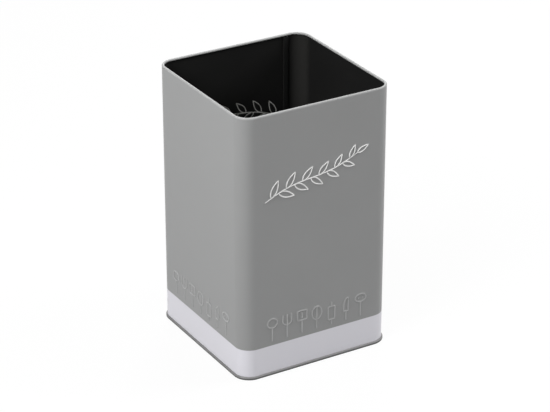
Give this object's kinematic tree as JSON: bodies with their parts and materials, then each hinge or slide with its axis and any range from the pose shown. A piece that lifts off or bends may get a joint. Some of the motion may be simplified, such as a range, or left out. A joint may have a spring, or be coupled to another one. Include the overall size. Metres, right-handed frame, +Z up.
{
  "type": "utensil crock",
  "caption": "Square sheet-steel crock with rounded corners, an open top with a rolled rim, a lock seam inside and a raised base crimped round its foot.",
  "frame": {"origin": "middle of the footprint, on the surface that the crock stands on", "axes": "+Z up out of the open top; +Y towards the back wall, which has the lock seam on its inside, next to the corner at +X; -Y towards the front wall"},
  "size_m": [0.1068, 0.1068, 0.175],
  "materials": {
    "enamelled_tin": "satin grey enamel outside with a pale band round the foot, gloss black lacquer inside",
    "bare_tin": "dull tinned steel underneath and on the crimp, gloss black lacquer on top",
    "steel_wire": "plain drawn wire"
  },
  "bodies": {
    "root": {"body_wrap": "enamelled_tin", "base_plate": "bare_tin", "rim_wire": "steel_wire"}
  },
  "joints": []
}
